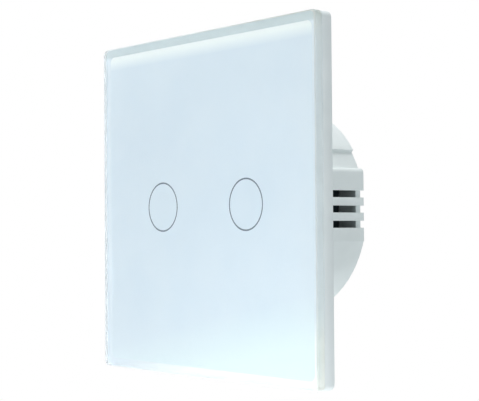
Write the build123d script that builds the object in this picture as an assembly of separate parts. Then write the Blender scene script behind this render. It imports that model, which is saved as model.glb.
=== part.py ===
# Touch light switch: a square glass front panel that snaps onto a round, vented wall-box module.
# Millimetres. X runs across the switch, Y runs into the wall, Z is up.
# The origin is the centre of the panel's back, on the wall plane, and the glass faces -Y.
from build123d import *
from math import cos, pi, radians, sin, sqrt
import os

# Glass panel
panel_size = 80.0
panel_corner_radius = 1.5
glass_thickness = 2.0
glass_arris = 0.3
print_border = 2.0
print_thickness = 0.15
ring_spacing = 31.4
ring_height = -0.4
ring_radius = 5.95
ring_line_width = 0.35

# Moulded frame behind the glass
frame_depth = 2.8
frame_wall = 3.0
pry_notch_width = 6.0
pry_notch_depth = 1.0

# Spring clips that hold the frame on the cover
clip_length = 6.0
clip_leaf = 0.2
clip_height = 1.0
clip_reach = 2.6
clip_seat_gap = 0.05
clip_place = 20.0
clip_groove_depth = 0.4
clip_groove_margin = 0.1

# Gaps between pieces
running_gap = 0.05
slide_gap = 0.15
end_gap = 0.2
side_gap = 0.3
hair_gap = 0.1
cut_overrun = 1.0

# Module axis, below the centre of the panel
module_drop = 1.45

# Steel bearing plate
plate_frame_gap = 0.55
plate_thickness = 1.0
plate_corner_radius = 4.0
box_screw_spacing = 60.0
box_hole_diameter = 4.0
box_slot_length = 9.0
box_head_diameter = 8.6
stake_inset = 7.0
stake_radius = 1.0

# Front cover, staked to the bearing plate
cover_thickness = 1.2
cover_corner_radius = 2.0
guide_window_gap = 0.3
press_post_radius = 1.5
press_post_place = 17.0

# Rear housing
housing_radius = 24.5
housing_depth = 25.2
housing_wall = 1.6
rear_wall = 1.5
flank_cut = 1.0
flank_wall = 1.15
land_below = 7.45
land_above = 9.5
land_corner_radius = 1.1
recess_depth = 0.75
recess_height = 3.9
recess_reach = 8.0
recess_chamfer = 0.8
slot_count = 3
slot_pitch = 3.5
slot_height = 1.62
slot_front = 9.0
boss_inset = 2.0
boss_angle = 50.0
boss_radius = 2.2
boss_shoulder_radius = 2.9
boss_pilot_depth = 8.5
block_window_gap = 0.3
wire_window_height = 5.0

# Screws that close the housing
housing_screw_radius = 0.85
housing_screw_length = 9.0
housing_head_radius = 1.9
housing_head_height = 1.0
cross_slot_length = 2.4
cross_slot_width = 0.5
cross_slot_depth = 0.5

# Touch board behind the cover
touch_board_front = 2.0
touch_board_thickness = 1.0
touch_board_edge_gap = 0.8
touch_board_half_height = 11.0
board_post_inset = 1.33
board_post_edge = 2.6
board_post_radius = 1.5
board_screw_radius = 0.6
board_screw_depth = 1.8
board_head_radius = 1.3
board_head_height = 0.8

# Light guides, touch springs and lamps
guide_radius = 6.2
guide_wall = 0.9
guide_front_gap = 0.3
spring_radius = 2.6
spring_wire_radius = 0.25
spring_turns = 4
spring_arc_count = 4
spring_sample_count = 64
lamp_length = 1.6
lamp_width = 0.8
lamp_height = 0.6
lamp_place = 4.25

# Touch chip
chip_length = 9.9
chip_width = 3.9
chip_height = 1.4
chip_lift = 0.1
leg_count = 8
leg_pitch = 1.27
leg_width = 0.4
leg_thickness = 0.2
leg_reach = 1.05

# Connector between the boards
pin_count = 5
pin_pitch = 2.54
pin_width = 0.6
pin_tail = 1.2
strip_height = 1.3
strip_width = 2.5
connector_edge = 1.7
socket_gap = 0.3

# Power board
power_board_front = 8.0
power_board_thickness = 1.6
power_board_edge_gap = 0.9
lead_radius = 0.3
lead_tail = 1.2

# Relays
relay_length = 18.4
relay_width = 10.2
relay_roof_gap = 0.3
relay_wall = 0.7
relay_base_height = 1.2
relay_place = (12.0, 2.3)
coil_place = -3.0
bobbin_flange_length = 7.0
bobbin_flange_width = 7.4
bobbin_flange_thickness = 0.7
bobbin_tube_radius = 1.9
winding_radius = 3.2
core_radius = 1.3
yoke_thickness = 0.8
yoke_width = 6.0
armature_head_room = 1.05
armature_thickness = 0.9
armature_gap = 0.1
armature_swing = 4.0
armature_length = 9.2
blade_thickness = 0.2
blade_width = 3.6
blade_length = 14.2
contact_place = 6.2
contact_radius = 1.0
contact_height = 0.5
contact_button_height = 0.3
contact_shank_radius = 0.5
post_thickness = 0.8
post_width = 3.6
pin_blade_width = 1.0

# Terminal block, clamp cages and screws
pole_count = 3
pole_pitch = 6.4
block_width = 20.4
block_low = -19.6
block_high = -9.6
block_rear_inset = 0.2
block_floor = 0.6
block_floor_length = 8.0
chamber_width = 5.0
chamber_wall = 1.2
roof_thickness = 1.0
wire_entry_edge = 0.2
screw_place = -15.4
screw_shank_radius = 1.45
screw_head_radius = 2.0
screw_head_height = 1.6
screw_slot_width = 0.8
screw_slot_depth = 0.8
screw_access_gap = 0.2
screw_recess = 2.4
cage_rise = 1.0
cage_length = 5.0
cage_floor = 1.2
cage_roof = 1.6
cage_side = 0.9
tab_thickness = 0.8
tab_low = -18.2
tab_high = -10.4
tab_leg_width = 1.2

# Other components on the power board
capacitor_radius = 4.0
capacitor_roof_gap = 2.3
capacitor_place = 4.0
capacitor_edge = 0.6
film_width = 13.0
film_depth = 5.0
film_roof_gap = 3.3
film_place = 16.6
film_edge = 0.5
varistor_radius = 4.0
varistor_thickness = 3.2
varistor_place = -6.0
fuse_radius = 2.0
fuse_height = 8.5
choke_radius = 2.8
choke_height = 8.0
choke_flange = 1.0
choke_waist = 0.7
corner_part_place = (15.2, -10.2)
part_lift = 0.3

# Planes and centres that follow from the sizes above
module_z = -module_drop
panel_half = panel_size / 2
print_size = panel_size - 2 * print_border
glass_back = -frame_depth
glass_front = glass_back - glass_thickness
print_back = glass_back + print_thickness
frame_inner = panel_half - frame_wall
plate_front = -plate_thickness
plate_size = 2 * (frame_inner - module_drop - plate_frame_gap)
stake_place = plate_size / 2 - stake_inset
cover_front = plate_front - cover_thickness
cover_half = frame_inner - side_gap
housing_inner = housing_radius - housing_wall
flank_distance = housing_radius - flank_cut
flank_inner = flank_distance - flank_wall
rear_inner = housing_depth - rear_wall
boss_ring_radius = housing_inner - boss_inset
touch_board_radius = housing_inner - touch_board_edge_gap
touch_board_back = touch_board_front + touch_board_thickness
board_post_height = touch_board_half_height - board_post_edge
board_post_side = sqrt((touch_board_radius - board_post_inset) ** 2 - board_post_height ** 2)
connector_place = touch_board_half_height - connector_edge
power_board_radius = housing_inner - power_board_edge_gap
power_board_back = power_board_front + power_board_thickness
block_rear = housing_depth - block_rear_inset
plate_opening_radius = housing_radius + side_gap
guide_bore = guide_radius - guide_wall
relay_height = rear_inner - power_board_back - relay_roof_gap
capacitor_height = rear_inner - power_board_back - part_lift - capacitor_roof_gap
film_height = rear_inner - power_board_back - part_lift - film_roof_gap
wire_entry_size = chamber_width - 2 * wire_entry_edge
screw_access_radius = screw_head_radius + screw_access_gap
chamber_roof = block_rear - screw_recess - screw_head_height - roof_thickness
cage_bottom = power_board_back + cage_rise
cage_width = chamber_width - 2 * slide_gap
cage_travel = (chamber_roof - cage_bottom - cage_floor - cage_roof - tab_thickness - 3 * end_gap) / 2
cage_height = cage_floor + cage_travel + end_gap + tab_thickness + end_gap + cage_roof
cage_top = cage_bottom + cage_height
tab_width = cage_width - 2 * cage_side - 2 * slide_gap
cage_floor_top = cage_bottom + cage_floor
tab_front = cage_floor_top + cage_travel + end_gap
tab_back = tab_front + tab_thickness
armature_top = relay_height - relay_wall - armature_head_room - contact_button_height - blade_thickness
armature_bottom = armature_top - armature_thickness
pivot_height = armature_bottom - armature_gap - yoke_thickness / 2
yoke_end = -relay_length / 2 + relay_wall + end_gap
armature_pivot = yoke_end + yoke_thickness / 2
moving_contact_low = armature_top - contact_height
guide_places = [(-ring_spacing / 2, ring_height), (ring_spacing / 2, ring_height)]
boss_places = [
    (side * boss_ring_radius * cos(radians(boss_angle)), end * boss_ring_radius * sin(radians(boss_angle)))
    for side in (-1, 1) for end in (-1, 1)
]
board_post_places = [
    (side * board_post_side, end * board_post_height) for side in (-1, 1) for end in (-1, 1)
]
pole_places = [(index - (pole_count - 1) / 2) * pole_pitch for index in range(pole_count)]
pin_places = [(index - (pin_count - 1) / 2) * pin_pitch for index in range(pin_count)]


def block(x_span, y_span, z_span):
    """A box between three pairs of planes."""
    spans = (x_span, y_span, z_span)
    middle = [(low + high) / 2 for low, high in spans]
    return Pos(*middle) * Box(*[high - low for low, high in spans])


def around(middle, width):
    """The two ends of a width that is centred on a place."""
    return (middle - width / 2, middle + width / 2)


def from_axis(low, high):
    """Two heights given from the module's axis."""
    return (module_z + low, module_z + high)


def slab(outline, y_front, y_back):
    """An outline, drawn as seen from the room, between two planes parallel to the wall."""
    return extrude(Plane.XZ.offset(-y_back) * outline, y_back - y_front)


def rod(radius, y_front, y_back, x, z):
    """A round piece that runs into the wall."""
    return slab(Pos(x, z) * Circle(radius), y_front, y_back)


def one_solid(shape):
    """The single solid of a shape that is in one piece."""
    solids = shape.solids()
    assert len(solids) == 1, f"{len(solids)} solids where one is meant"
    return solids[0]


def square_outline(size, corner_radius):
    return RectangleRounded(size, size, corner_radius)


# Front panel: the glass with what is printed on its back, and the frame glued behind it

def make_glass_panel():
    glass = slab(square_outline(panel_size, panel_corner_radius), glass_front, glass_back)
    rims = glass.faces().sort_by(Axis.Y)[0].edges() + glass.faces().sort_by(Axis.Y)[-1].edges()
    return chamfer(rims, glass_arris)


def ring_outline(x, z, gap):
    """The outline of one touch ring, wider by a gap on both sides of its line."""
    return Pos(x, z) * (Circle(ring_radius + gap) - Circle(ring_radius - ring_line_width - gap))


def make_back_print():
    outline = square_outline(print_size, panel_corner_radius)
    for x, z in guide_places:
        outline -= Pos(x, z) * Circle(ring_radius)
    sheet = slab(outline, glass_back, print_back)
    discs = [
        rod(ring_radius - ring_line_width, glass_back, print_back, x, z) for x, z in guide_places
    ]
    return Compound(children=[one_solid(sheet)] + [one_solid(disc) for disc in discs])


def make_touch_rings():
    rings = [slab(ring_outline(x, z, 0), glass_back, print_back) for x, z in guide_places]
    return Compound(children=[one_solid(ring) for ring in rings])


def make_panel_frame():
    frame = slab(square_outline(panel_size, panel_corner_radius), glass_back, 0)
    frame -= slab(square_outline(2 * frame_inner, cover_corner_radius), glass_back, 0)
    frame -= slab(square_outline(print_size, panel_corner_radius), glass_back, print_back)
    clip_middle = (cover_front + plate_front) / 2
    groove_height = clip_height + 2 * clip_groove_margin
    groove_length = clip_length + 2 * side_gap
    for side in (-1, 1):
        for end in (-1, 1):
            wall = side * frame_inner
            frame -= block(
                sorted((wall, wall + side * clip_groove_depth)),
                around(clip_middle, groove_height),
                around(end * clip_place, groove_length),
            )
    frame -= block(
        around(0, pry_notch_width), (-pry_notch_depth, 0), (-panel_half, -frame_inner)
    )
    return frame


# Bearing plate, front cover and the clips between the cover and the panel's frame

def box_slot_outline(width, length):
    return SlotOverall(length, width)


def make_bearing_plate():
    outline = square_outline(plate_size, plate_corner_radius)
    outline -= Circle(plate_opening_radius)
    land_room = Rectangle(2 * (flank_distance + side_gap), land_below + land_above + 2 * side_gap)
    outline -= Pos(0, (land_above - land_below) / 2) * land_room
    for side in (-1, 1):
        place = side * box_screw_spacing / 2
        outline -= Pos(place, 0) * Circle(box_hole_diameter / 2)
        outline -= Pos(0, place) * box_slot_outline(box_hole_diameter, box_slot_length)
        for end in (-1, 1):
            outline -= Pos(side * stake_place, end * stake_place) * Circle(stake_radius + hair_gap)
    return slab(Pos(0, module_z) * outline, plate_front, 0)


def make_front_cover():
    outline = square_outline(2 * cover_half, cover_corner_radius)
    for x, z in guide_places:
        outline -= Pos(x, z) * Circle(guide_radius + guide_window_gap)
    head_slot = box_slot_length + box_head_diameter - box_hole_diameter
    for side in (-1, 1):
        place = side * box_screw_spacing / 2
        outline -= Pos(place, module_z) * Circle(box_head_diameter / 2)
        outline -= Pos(0, module_z + place) * box_slot_outline(box_head_diameter, head_slot)
    cover = slab(outline, cover_front, plate_front)
    pocket_depth = cover_half - clip_base_x()
    for side in (-1, 1):
        for end in (-1, 1):
            edge = side * cover_half
            cover -= block(
                sorted((edge, edge - side * (pocket_depth + clip_seat_gap))),
                (cover_front, plate_front),
                around(end * clip_place, clip_length + 2 * hair_gap),
            )
            cover += rod(
                stake_radius, plate_front, -hair_gap, side * stake_place, module_z + end * stake_place
            )
    for x, z in board_post_places:
        cover += rod(board_post_radius, plate_front, touch_board_front, x, module_z + z)
        cover -= rod(
            board_screw_radius + running_gap, touch_board_front - board_screw_depth - side_gap,
            touch_board_front, x, module_z + z
        )
    for side in (-1, 1):
        cover += rod(press_post_radius, plate_front, power_board_front, 0, module_z + side * press_post_place)
    for x, z in boss_places:
        cover -= rod(housing_screw_radius + hair_gap, cover_front, plate_front, x, module_z + z)
        cover -= head_cone(x, module_z + z, hair_gap)
    return cover


def clip_base_x():
    """How far from the middle the flat back of a clip sits in its pocket."""
    return frame_inner + clip_groove_depth - slide_gap - clip_reach


def clip_outline(inset):
    """A closed leaf, flat at the back and bowed towards the frame, seen from above."""
    back = clip_base_x() + inset
    front = clip_base_x() + clip_reach - inset
    half = clip_height / 2 - inset
    shoulder = front - half
    lines = [
        Line((back, -half), (shoulder, -half)),
        ThreePointArc((shoulder, -half), (front, 0), (shoulder, half)),
        Line((shoulder, half), (back, half)),
        Line((back, half), (back, -half)),
    ]
    return make_face(Curve() + lines)


def make_panel_clips():
    clips = []
    clip_middle = (cover_front + plate_front) / 2
    for side in (-1, 1):
        for end in (-1, 1):
            leaf = clip_outline(0) - clip_outline(clip_leaf)
            bar = extrude(Plane.XY * leaf, clip_length / 2, both=True)
            if side < 0:
                bar = Rot(0, 0, 180) * bar
            clips.append(one_solid(Pos(0, clip_middle, end * clip_place) * bar))
    return Compound(children=clips)


# Rear housing and the screws that close it

def head_cone(x, z, gap):
    """The countersunk head of a housing screw, wider all round by a gap."""
    top = Plane(origin=(x, cover_front, z), z_dir=(0, 1, 0))
    cone = Cone(
        housing_head_radius + gap, housing_screw_radius + gap, housing_head_height,
        align=(Align.CENTER, Align.CENTER, Align.MIN)
    )
    return top * cone


def housing_outline():
    """The housing seen from the room: a circle with flat flanks and a raised land on each."""
    outline = Circle(housing_radius) & Rectangle(2 * flank_distance, 2 * housing_radius)
    land_height = land_below + land_above
    land_middle = (land_above - land_below) / 2
    land = Rectangle(2 * flank_distance, land_height)
    land = fillet(land.vertices().group_by(Axis.Y)[-1], land_corner_radius)
    outline += Pos(0, land_middle) * land
    return outline


def recess_cut():
    """The shallow step above each land, with a sloping upper ledge."""
    ring = Circle(housing_radius + cut_overrun) - Circle(housing_radius - recess_depth)
    inner = housing_radius - recess_depth
    top = land_above + recess_height
    start = flank_distance - recess_reach
    ledge = sqrt(housing_radius ** 2 - top ** 2)
    cuts = []
    for side in (-1, 1):
        lines = Polyline(
            (side * start, land_above),
            (side * (housing_radius + cut_overrun), land_above),
            (side * (housing_radius + cut_overrun), top + recess_chamfer),
            (side * ledge, top + recess_chamfer),
            (side * sqrt(inner ** 2 - top ** 2), top),
            (side * start, top),
            close=True,
        )
        cuts.append(ring & make_face(lines))
    return cuts


def make_rear_housing():
    outline = housing_outline()
    for cut in recess_cut():
        outline -= cut
    shell = slab(outline, plate_front, housing_depth)
    hollow = Circle(housing_inner) & Rectangle(2 * flank_inner, 2 * housing_radius)
    inside = slab(hollow, plate_front, rear_inner)
    shell -= inside
    bosses = []
    for x, z in boss_places:
        bosses.append(rod(boss_radius, plate_front, rear_inner, x, z))
        bosses.append(rod(boss_shoulder_radius, power_board_back, rear_inner, x, z))
    room = slab(hollow, plate_front, housing_depth)
    for boss in bosses:
        shell += boss & (room + slab(outline, plate_front, rear_inner))
    for x, z in boss_places:
        shell -= rod(housing_screw_radius + running_gap, plate_front, plate_front + boss_pilot_depth, x, z)
    for index in range(slot_count):
        height = (index - (slot_count - 1) / 2) * slot_pitch
        for side in (-1, 1):
            shell -= block(
                sorted((side * flank_inner, side * (flank_distance + cut_overrun))),
                (slot_front, housing_depth + cut_overrun),
                around(height, slot_height),
            )
            shell -= block(
                sorted((side * (flank_inner - cut_overrun), side * flank_distance)),
                (slot_front, rear_inner),
                around(height, slot_height),
            )
    shell -= block(
        around(0, block_width + 2 * block_window_gap),
        (rear_inner - cut_overrun, housing_depth + cut_overrun),
        (block_low - block_window_gap, block_high + block_window_gap),
    )
    shell -= block(
        around(0, wire_window_width()),
        wire_span(wire_window_height),
        (-housing_radius - cut_overrun, block_low),
    )
    return one_solid(Pos(0, 0, module_z) * shell)


def make_housing_screws():
    screws = []
    for x, z in boss_places:
        height = module_z + z
        screw = head_cone(x, height, 0)
        screw += rod(housing_screw_radius, cover_front, cover_front + housing_screw_length, x, height)
        for long_x, long_z in ((cross_slot_length, cross_slot_width), (cross_slot_width, cross_slot_length)):
            screw -= block(
                around(x, long_x), (cover_front, cover_front + cross_slot_depth), around(height, long_z)
            )
        screws.append(one_solid(screw))
    return Compound(children=screws)


# Touch board with its light guides, touch springs, lamps and chip

def make_touch_board():
    outline = Circle(touch_board_radius) & Rectangle(2 * touch_board_radius, 2 * touch_board_half_height)
    for x, z in board_post_places:
        outline -= Pos(x, z) * Circle(board_screw_radius + slide_gap)
    for x in pin_places:
        outline -= Pos(x, connector_place) * Rectangle(pin_width + 2 * hair_gap, pin_width + 2 * hair_gap)
    return slab(Pos(0, module_z) * outline, touch_board_front, touch_board_back)


def make_touch_board_screws():
    screws = []
    for x, z in board_post_places:
        height = module_z + z
        screw = rod(board_screw_radius, touch_board_front - board_screw_depth, touch_board_back, x, height)
        screw += rod(board_head_radius, touch_board_back, touch_board_back + board_head_height, x, height)
        screws.append(one_solid(screw))
    return Compound(children=screws)


def make_light_guide(x, z):
    front = print_back + guide_front_gap
    return rod(guide_radius, front, touch_board_front, x, z) - rod(guide_bore, front, touch_board_front, x, z)


def coil_point(angle, x, z, start, end):
    """A point of a coil's centre line and the direction that it runs in there."""
    full = 2 * pi * spring_turns
    rise = (end - start) / full
    point = Vector(x + spring_radius * cos(angle), start + rise * angle, z + spring_radius * sin(angle))
    heading = Vector(-spring_radius * sin(angle), rise, spring_radius * cos(angle)).normalized()
    return point, heading


def arc_pair(first, first_heading, last, last_heading):
    """Two arcs that join two points of a coil and run on smoothly at both."""
    chord = last - first
    total = first_heading + last_heading
    spread = 2 * (1 - first_heading.dot(last_heading))
    along = chord.dot(total)
    reach = (sqrt(along * along + spread * chord.dot(chord)) - along) / spread
    joint = (first + last + (first_heading - last_heading) * reach) / 2
    start_arc = TangentArc([first, joint], tangent=first_heading)
    end_arc = TangentArc([last, joint], tangent=last_heading, tangent_from_first=False)
    return start_arc, end_arc, joint


def make_touch_spring(x, z):
    start = touch_board_front - running_gap - spring_wire_radius
    end = print_back + hair_gap + spring_wire_radius
    pieces = []
    steps = spring_turns * spring_arc_count
    for index in range(steps):
        here, here_heading = coil_point(2 * pi * index / spring_arc_count, x, z, start, end)
        there, there_heading = coil_point(2 * pi * (index + 1) / spring_arc_count, x, z, start, end)
        first_arc, second_arc, joint = arc_pair(here, here_heading, there, there_heading)
        middle_heading = first_arc % 1
        pieces.append(first_arc)
        pieces.append(TangentArc([joint, there], tangent=middle_heading))
    line = Wire([edge for piece in pieces for edge in piece.edges()])
    section = Plane(origin=line @ 0, z_dir=line % 0) * Circle(spring_wire_radius)
    return sweep(section, path=line)


def coil_gap():
    """The least gap between two neighbouring turns of a touch spring, measured on its points."""
    start = touch_board_front - running_gap - spring_wire_radius
    end = print_back + hair_gap + spring_wire_radius
    points = [
        coil_point(2 * pi * index / spring_sample_count, 0, 0, start, end)[0]
        for index in range(spring_sample_count * spring_turns + 1)
    ]
    apart = min(
        (points[i] - points[j]).length
        for i in range(len(points)) for j in range(i + spring_sample_count // 2, len(points))
    )
    return apart - 2 * spring_wire_radius


def make_indicator_lamps():
    lamps = []
    for x, z in guide_places:
        for end in (-1, 1):
            lamps.append(block(
                around(x, lamp_length),
                (touch_board_front - lamp_height, touch_board_front),
                around(z + end * lamp_place, lamp_width),
            ))
    return Compound(children=[one_solid(lamp) for lamp in lamps])


def make_touch_chip():
    front = touch_board_back + chip_lift
    return block(around(0, chip_length), (front, front + chip_height), around(module_z, chip_width))


def make_chip_legs():
    legs = []
    seat = touch_board_back
    shoulder = seat + chip_lift + chip_height / 2
    for index in range(leg_count):
        x = (index - (leg_count - 1) / 2) * leg_pitch
        for side in (-1, 1):
            root = module_z + side * chip_width / 2
            knee = root + side * leg_reach / 2
            tip = root + side * leg_reach
            leg = block(around(x, leg_width), (shoulder - leg_thickness, shoulder), sorted((root, knee)))
            leg += block(
                around(x, leg_width), (seat, shoulder), sorted((knee - side * leg_thickness, knee))
            )
            leg += block(around(x, leg_width), (seat, seat + leg_thickness), sorted((knee, tip)))
            legs.append(one_solid(leg))
    return Compound(children=legs)


# Connector between the touch board and the power board

def strip_span():
    return around(0, pin_count * pin_pitch)


def make_pin_strip():
    height = module_z + connector_place
    span = (touch_board_back, touch_board_back + strip_height)
    strip = block(strip_span(), span, around(height, strip_width))
    for x in pin_places:
        strip -= block(around(x, pin_width), span, around(height, pin_width))
    return strip


def make_header_pins():
    height = module_z + connector_place
    pins = [
        block(around(x, pin_width), (touch_board_front - pin_tail / 2, power_board_front - hair_gap),
              around(height, pin_width))
        for x in pin_places
    ]
    return Compound(children=[one_solid(pin) for pin in pins])


def make_socket_strip():
    height = module_z + connector_place
    front = touch_board_back + strip_height + socket_gap
    strip = block(strip_span(), (front, power_board_front), around(height, strip_width))
    hole = pin_width + 2 * hair_gap
    for x in pin_places:
        strip -= block(around(x, hole), (front, power_board_front), around(height, hole))
    return strip


# Power board: every leg and pin that passes through it is listed once, and cut from it with a gap

def relay_middle(side):
    return side * relay_place[0], module_z + relay_place[1]


def relay_block(side, v_span, h_span, u_span):
    """A box inside one relay: across it, up from the board, and along its length."""
    x, z = relay_middle(side)
    return block(
        (x + v_span[0], x + v_span[1]),
        (power_board_back + h_span[0], power_board_back + h_span[1]),
        (z + u_span[0], z + u_span[1]),
    )


def relay_rod(side, radius, h_span, u):
    x, z = relay_middle(side)
    return rod(radius, power_board_back + h_span[0], power_board_back + h_span[1], x, z + u)


def pin_depth():
    return -(power_board_thickness + lead_tail)


def relay_pin_places():
    """Across, along and width by thickness of each pin of a relay."""
    coil_side = bobbin_flange_width / 2 - pin_width / 2
    return {
        "coil": [(place, coil_place, pin_width, pin_width) for place in (-coil_side, coil_side)],
        "yoke": [(0, armature_pivot, pin_blade_width, yoke_thickness)],
        "post": [(0, contact_place, pin_blade_width, post_thickness)],
    }


def component_leads():
    """Across and up places of the wire legs of the parts that stand on the power board."""
    fuse_x, corner_z = corner_part_place
    return [
        (-capacitor_radius / 2, capacitor_place), (capacitor_radius / 2, capacitor_place),
        (-film_width / 3, film_place), (film_width / 3, film_place),
        (-varistor_radius / 2, varistor_place), (varistor_radius / 2, varistor_place),
        (fuse_x - fuse_radius / 2, corner_z), (fuse_x + fuse_radius / 2, corner_z),
        (-fuse_x - choke_radius / 2, corner_z), (-fuse_x + choke_radius / 2, corner_z),
    ]


def make_power_board():
    outline = Circle(power_board_radius)
    for x, z in boss_places:
        outline -= Pos(x, z) * Circle(boss_radius + side_gap)
    for x, z in component_leads():
        outline -= Pos(x, z) * Circle(lead_radius + hair_gap)
    for side in (-1, 1):
        for pins in relay_pin_places().values():
            for v, u, width, thickness in pins:
                outline -= Pos(side * relay_place[0] + v, relay_place[1] + u) * Rectangle(
                    width + 2 * hair_gap, thickness + 2 * hair_gap
                )
    for x in pole_places:
        outline -= Pos(x, tab_high - tab_thickness / 2) * Rectangle(
            tab_leg_width + 2 * hair_gap, tab_thickness + 2 * hair_gap
        )
    return slab(Pos(0, module_z) * outline, power_board_front, power_board_back)


# Relay: base, case, coil, iron path, and the armature with its contact blade

def make_relay_base(side):
    base = relay_block(
        side, around(0, relay_width), (0, relay_base_height), around(0, relay_length)
    )
    for pins in relay_pin_places().values():
        for v, u, width, thickness in pins:
            base -= relay_block(side, around(v, width), (0, relay_base_height), around(u, thickness))
    return base


def make_relay_case(side):
    outer = relay_block(
        side, around(0, relay_width), (relay_base_height, relay_height), around(0, relay_length)
    )
    inner = relay_block(
        side, around(0, relay_width - 2 * relay_wall), (relay_base_height, relay_height - relay_wall),
        around(0, relay_length - 2 * relay_wall)
    )
    upright = outer.edges().filter_by(Axis.Y)
    return fillet(upright, relay_wall) - inner


def bobbin_bottom():
    return relay_base_height + yoke_thickness


def closing_drop(place):
    """How far the armature or its blade comes down at a place along the relay as it swings shut."""
    return (place - armature_pivot) * sin(radians(armature_swing))


def core_top():
    return armature_bottom - closing_drop(coil_place + core_radius) - hair_gap


def bobbin_top():
    return core_top() - side_gap


def bobbin_flange(side, h_span):
    return relay_block(
        side, around(0, bobbin_flange_width), h_span, around(coil_place, bobbin_flange_length)
    )


def make_coil_bobbin(side):
    low, high = bobbin_bottom(), bobbin_top()
    bobbin = bobbin_flange(side, (low, low + bobbin_flange_thickness))
    bobbin += bobbin_flange(side, (high - bobbin_flange_thickness, high))
    bobbin += relay_rod(side, bobbin_tube_radius, (low, high), coil_place)
    return bobbin - relay_rod(side, core_radius + running_gap, (low, high), coil_place)


def make_coil_winding(side):
    span = (bobbin_bottom() + bobbin_flange_thickness, bobbin_top() - bobbin_flange_thickness)
    winding = relay_rod(side, winding_radius, span, coil_place)
    return winding - relay_rod(side, bobbin_tube_radius, span, coil_place)


def make_relay_core(side):
    return relay_rod(side, core_radius, (relay_base_height, core_top()), coil_place)


def make_relay_yoke(side):
    """A bent iron strip: a foot under the coil, and an upright with a round edge for the armature."""
    foot_end = coil_place + bobbin_tube_radius
    foot_top = relay_base_height + yoke_thickness
    across = around(0, yoke_width)
    yoke = relay_block(side, across, (relay_base_height, foot_top), (yoke_end, foot_end))
    yoke += relay_block(
        side, across, (relay_base_height, pivot_height), (yoke_end, yoke_end + yoke_thickness)
    )
    x, z = relay_middle(side)
    edge_middle = Pos(x, power_board_back + pivot_height, z + armature_pivot)
    yoke += edge_middle * Rot(0, 90, 0) * Cylinder(yoke_thickness / 2, yoke_width)
    yoke -= relay_rod(side, core_radius + running_gap, (relay_base_height, foot_top), coil_place)
    for v, u, width, thickness in relay_pin_places()["yoke"]:
        yoke += relay_block(side, around(v, width), (pin_depth(), relay_base_height), around(u, thickness))
    return yoke


def make_coil_pins(side):
    pins = [
        relay_block(side, around(v, width), (pin_depth(), bobbin_bottom()), around(u, thickness))
        for v, u, width, thickness in relay_pin_places()["coil"]
    ]
    return Compound(children=[one_solid(pin) for pin in pins])


def make_relay_armature(side):
    return relay_block(
        side, around(0, yoke_width), (armature_bottom, armature_top), (yoke_end, yoke_end + armature_length)
    )


def make_contact_blade(side):
    back = yoke_end + yoke_thickness
    blade = relay_block(
        side, around(0, blade_width), (armature_top, armature_top + blade_thickness),
        (back, back + blade_length)
    )
    return blade - relay_rod(
        side, contact_shank_radius + running_gap, (armature_top, armature_top + blade_thickness),
        contact_place
    )


def make_moving_contact(side):
    button_low = armature_top + blade_thickness
    rivet = relay_rod(side, contact_radius, (moving_contact_low, armature_top), contact_place)
    rivet += relay_rod(side, contact_shank_radius, (armature_top, button_low), contact_place)
    return rivet + relay_rod(
        side, contact_radius, (button_low, button_low + contact_button_height), contact_place
    )


def make_fixed_contact(side):
    top = moving_contact_low - closing_drop(contact_place + contact_radius) - hair_gap
    post = relay_block(
        side, around(0, post_width), (relay_base_height, top - contact_height),
        around(contact_place, post_thickness)
    )
    post += relay_rod(side, contact_radius, (top - contact_height, top), contact_place)
    for v, u, width, thickness in relay_pin_places()["post"]:
        post += relay_block(side, around(v, width), (pin_depth(), relay_base_height), around(u, thickness))
    return post


# Terminal block: each pole has a screw held in the block and a cage that it draws up against a tab

def wire_span(height):
    """The wire way, as tall as asked, centred between the open cage's floor and the tab."""
    return around((cage_floor_top + tab_front) / 2, height)


def wire_window_width():
    return (pole_count - 1) * pole_pitch + wire_entry_size + 2 * side_gap


def chamber_low():
    return block_low + chamber_wall


def make_terminal_block():
    body = block(around(0, block_width), (power_board_back, block_rear), (block_low, block_high))
    floor_top = power_board_back + block_floor
    for x in pole_places:
        body -= block(around(x, chamber_width), (floor_top, chamber_roof), (chamber_low(), block_high))
        body -= block(
            around(x, chamber_width), (power_board_back, floor_top),
            (block_low + block_floor_length, block_high)
        )
        body -= block(around(x, wire_entry_size), wire_span(wire_entry_size), (block_low, chamber_low()))
        body -= rod(screw_shank_radius + slide_gap, chamber_roof, block_rear, x, screw_place)
        body -= rod(screw_access_radius, chamber_roof + roof_thickness, block_rear, x, screw_place)
    return Pos(0, 0, module_z) * body


def make_terminal_tabs():
    tabs = []
    for x in pole_places:
        tab = block(around(x, tab_width), (tab_front, tab_back), from_axis(tab_low, tab_high))
        tab += block(
            around(x, tab_leg_width), (power_board_front - lead_tail, tab_back),
            from_axis(tab_high - tab_thickness, tab_high)
        )
        tabs.append(one_solid(tab))
    return Compound(children=tabs)


def make_clamp_cage(x):
    roof = cage_top - cage_roof
    length = around(module_z + screw_place, cage_length)
    cage = block(around(x, cage_width), (cage_bottom, cage_top), length)
    cage -= block(around(x, cage_width - 2 * cage_side), (cage_floor_top, roof), length)
    return cage - rod(screw_shank_radius + running_gap, roof, cage_top, x, module_z + screw_place)


def make_terminal_screw(x):
    z = module_z + screw_place
    seat = chamber_roof + roof_thickness
    head_top = seat + screw_head_height
    screw = rod(screw_shank_radius, tab_back + hair_gap, seat, x, z)
    screw += rod(screw_head_radius, seat, head_top, x, z)
    return screw - block(
        around(x, 2 * screw_head_radius), (head_top - screw_slot_depth, head_top), around(z, screw_slot_width)
    )


# Other components on the power board

def make_smoothing_capacitor():
    can = rod(
        capacitor_radius, power_board_back + part_lift, power_board_back + part_lift + capacitor_height,
        0, module_z + capacitor_place
    )
    return fillet(can.edges().sort_by(Axis.Y)[-1], capacitor_edge)


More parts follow.
